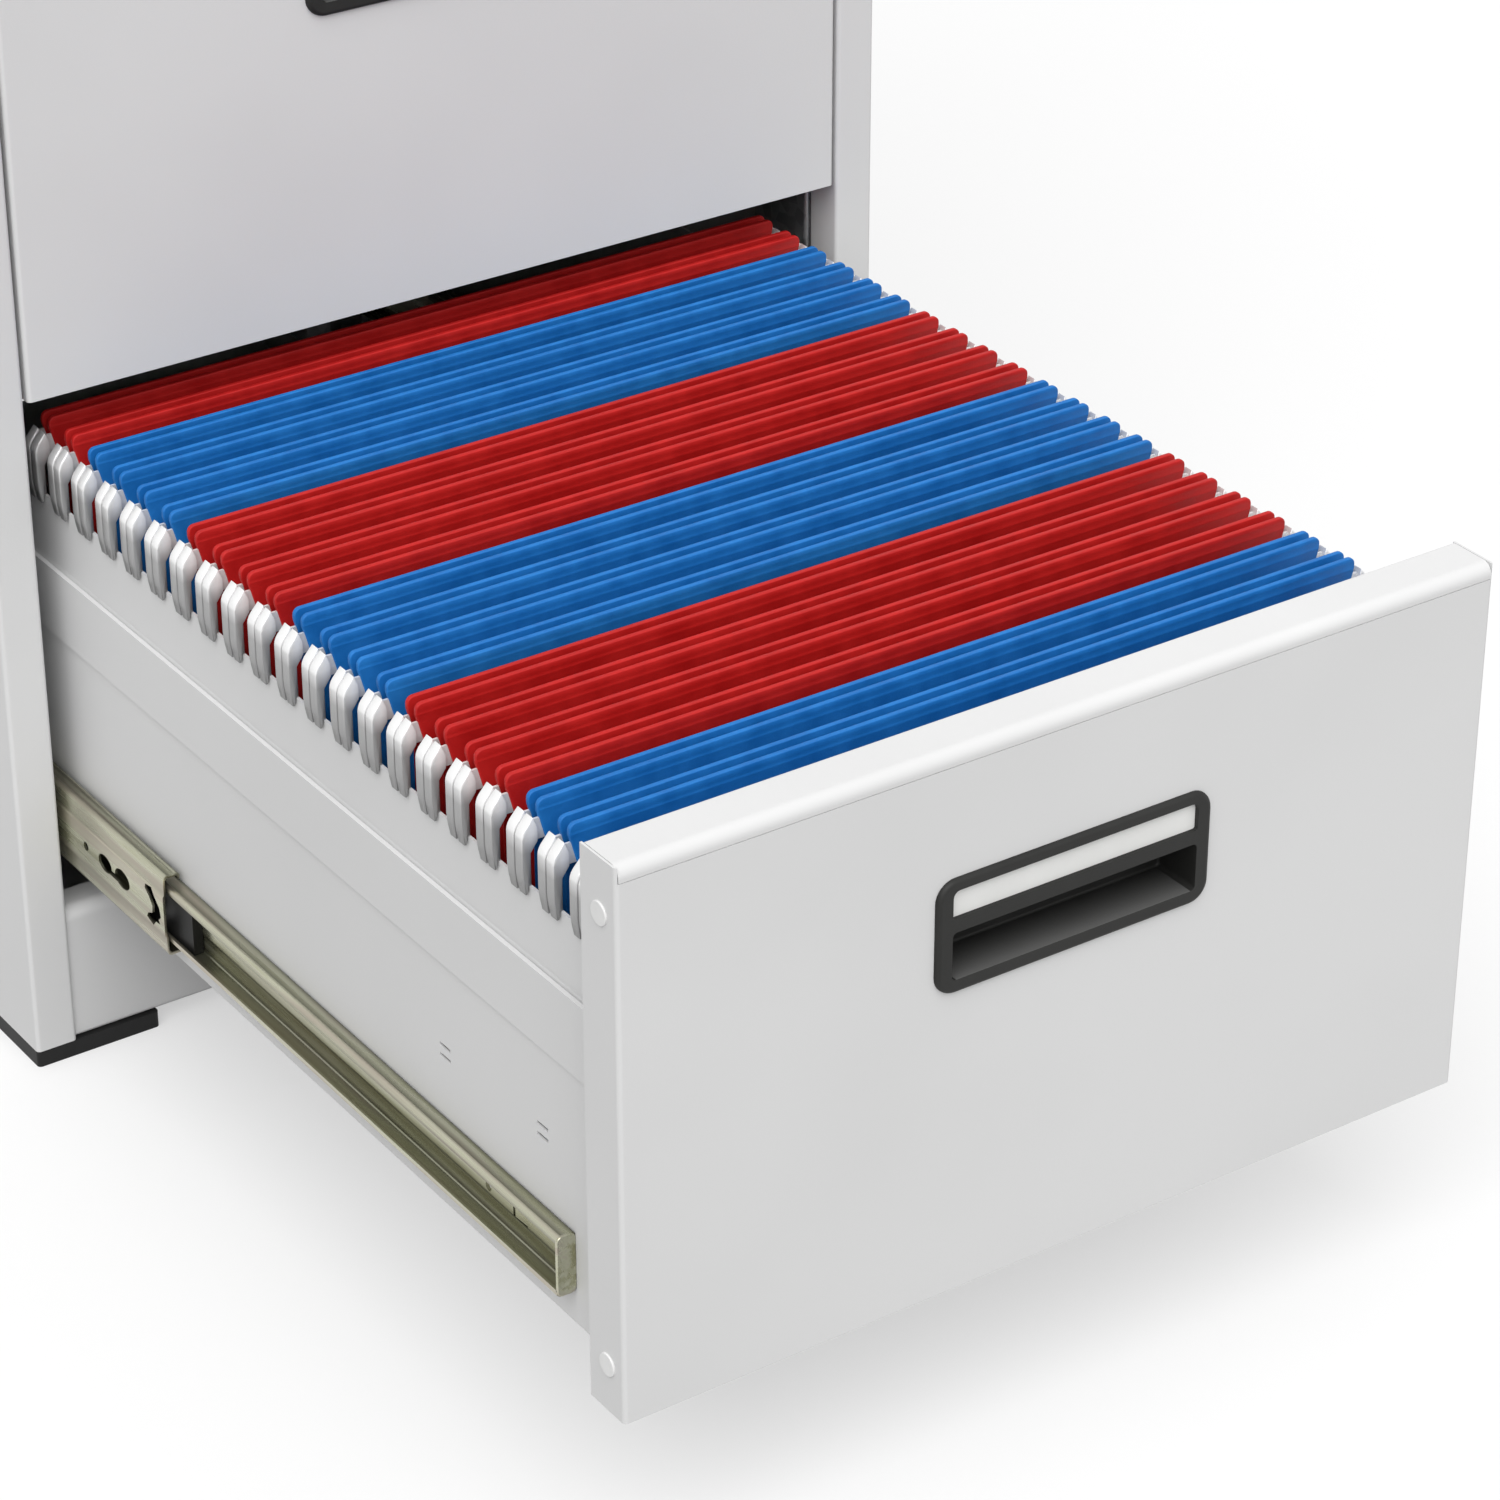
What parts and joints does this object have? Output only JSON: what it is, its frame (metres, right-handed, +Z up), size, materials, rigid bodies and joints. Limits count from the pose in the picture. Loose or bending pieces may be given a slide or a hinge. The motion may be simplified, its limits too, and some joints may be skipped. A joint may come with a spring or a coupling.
{
  "type": "filing cabinet",
  "caption": "Tall grey steel filing cabinet with sliding drawers on telescopic runners, the lowest pulled out and filled with hanging red and blue files.",
  "frame": {"origin": "on the floor at the centre of the carcass's footprint, which is the centre of the four floor fixing holes", "axes": "+Z up, -Y out of the drawer fronts, +X to the right as seen from the front"},
  "size_m": [0.46, 1.0791, 1.108],
  "materials": {
    "cabinet_paint": "light grey fine-textured powder paint",
    "galvanised_steel": "plain galvanised",
    "zinc_slide": "yellow-passivated zinc plating",
    "screw_steel": "bright zinc",
    "chrome_lock": "satin chrome",
    "handle_plastic": "charcoal, matte moulded",
    "black_plastic": "black",
    "white_plastic": "white",
    "label_card": "pale card",
    "red_card": "dyed kraft card",
    "blue_card": "dyed kraft card",
    "hook_steel": "bright plated"
  },
  "bodies": {
    "cabinet": {"left_side_panel": "cabinet_paint", "right_side_panel": "cabinet_paint", "back_panel": "cabinet_paint", "panel_screws": "screw_steel", "top_panel": "cabinet_paint", "base_pan": "cabinet_paint", "foot_pads": "black_plastic", "plinth_rail": "cabinet_paint", "top_front_rail": "cabinet_paint", "left_uprights": "galvanised_steel", "right_uprights": "galvanised_steel", "left_cabinet_slides": "zinc_slide", "right_cabinet_slides": "zinc_slide", "lock_body": "chrome_lock"},
    "drawer_1": {"drawer_1_front": "cabinet_paint", "drawer_1_front_liner": "cabinet_paint", "drawer_1_handle": "handle_plastic", "drawer_1_label_card": "label_card", "drawer_1_body": "cabinet_paint", "drawer_1_file_rails": "cabinet_paint", "drawer_1_inner_slides": "zinc_slide", "drawer_1_front_caps": "white_plastic", "red_folders": "red_card", "blue_folders": "blue_card", "folder_bars": "hook_steel", "folder_hooks": "hook_steel"},
    "slides_1": {"drawer_1_middle_slides": "zinc_slide", "drawer_1_ball_cages": "black_plastic"},
    "drawer_2": {"drawer_2_front": "cabinet_paint", "drawer_2_front_liner": "cabinet_paint", "drawer_2_handle": "handle_plastic", "drawer_2_label_card": "label_card", "drawer_2_body": "cabinet_paint", "drawer_2_file_rails": "cabinet_paint", "drawer_2_inner_slides": "zinc_slide", "drawer_2_front_caps": "white_plastic"},
    "slides_2": {"drawer_2_middle_slides": "zinc_slide", "drawer_2_ball_cages": "black_plastic"},
    "drawer_3": {"drawer_3_front": "cabinet_paint", "drawer_3_front_liner": "cabinet_paint", "drawer_3_handle": "handle_plastic", "drawer_3_label_card": "label_card", "drawer_3_body": "cabinet_paint", "drawer_3_file_rails": "cabinet_paint", "drawer_3_inner_slides": "zinc_slide", "drawer_3_front_caps": "white_plastic"},
    "slides_3": {"drawer_3_middle_slides": "zinc_slide", "drawer_3_ball_cages": "black_plastic"},
    "drawer_4": {"drawer_4_front": "cabinet_paint", "drawer_4_front_liner": "cabinet_paint", "drawer_4_handle": "handle_plastic", "drawer_4_label_card": "label_card", "drawer_4_body": "cabinet_paint", "drawer_4_file_rails": "cabinet_paint", "drawer_4_inner_slides": "zinc_slide", "drawer_4_front_caps": "white_plastic"},
    "slides_4": {"drawer_4_middle_slides": "zinc_slide", "drawer_4_ball_cages": "black_plastic"},
    "lock_barrel": {"lock_plug": "chrome_lock"},
    "locking_bar": {"lock_bar": "galvanised_steel"}
  },
  "joints": [
    {"name": "drawer_1_slide", "type": "slide", "parent": "cabinet", "child": "drawer_1", "axis": [0, -1, 0], "range_m": [-0.455, 0.045]},
    {"name": "middle_1_slide", "type": "slide", "parent": "cabinet", "child": "slides_1", "axis": [0, -1, 0], "range_m": [-0.1629, 0.0162]},
    {"name": "drawer_2_slide", "type": "slide", "parent": "cabinet", "child": "drawer_2", "axis": [0, -1, 0], "range_m": [0, 0.5]},
    {"name": "middle_2_slide", "type": "slide", "parent": "cabinet", "child": "slides_2", "axis": [0, -1, 0], "range_m": [0, 0.1791]},
    {"name": "drawer_3_slide", "type": "slide", "parent": "cabinet", "child": "drawer_3", "axis": [0, -1, 0], "range_m": [0, 0.5]},
    {"name": "middle_3_slide", "type": "slide", "parent": "cabinet", "child": "slides_3", "axis": [0, -1, 0], "range_m": [0, 0.1791]},
    {"name": "drawer_4_slide", "type": "slide", "parent": "cabinet", "child": "drawer_4", "axis": [0, -1, 0], "range_m": [0, 0.5]},
    {"name": "middle_4_slide", "type": "slide", "parent": "cabinet", "child": "slides_4", "axis": [0, -1, 0], "range_m": [0, 0.1791]},
    {"name": "lock_turn", "type": "hinge", "parent": "cabinet", "child": "lock_barrel", "pos_m": [0.19, -0.31, 1.0915], "axis": [0, -1, 0], "range_deg": [0, 90]},
    {"name": "lock_bar_lift", "type": "slide", "parent": "cabinet", "child": "locking_bar", "axis": [0, 0, 1], "range_m": [0, 0.008]}
  ],
  "couplings": [
    {"joint": "middle_1_slide", "follows": "drawer_1_slide", "ratio": 0.358},
    {"joint": "middle_2_slide", "follows": "drawer_2_slide", "ratio": 0.358},
    {"joint": "middle_3_slide", "follows": "drawer_3_slide", "ratio": 0.358},
    {"joint": "middle_4_slide", "follows": "drawer_4_slide", "ratio": 0.358},
    {"joint": "lock_turn", "follows": "lock_bar_lift", "rad_per_m": 196.34}
  ]
}
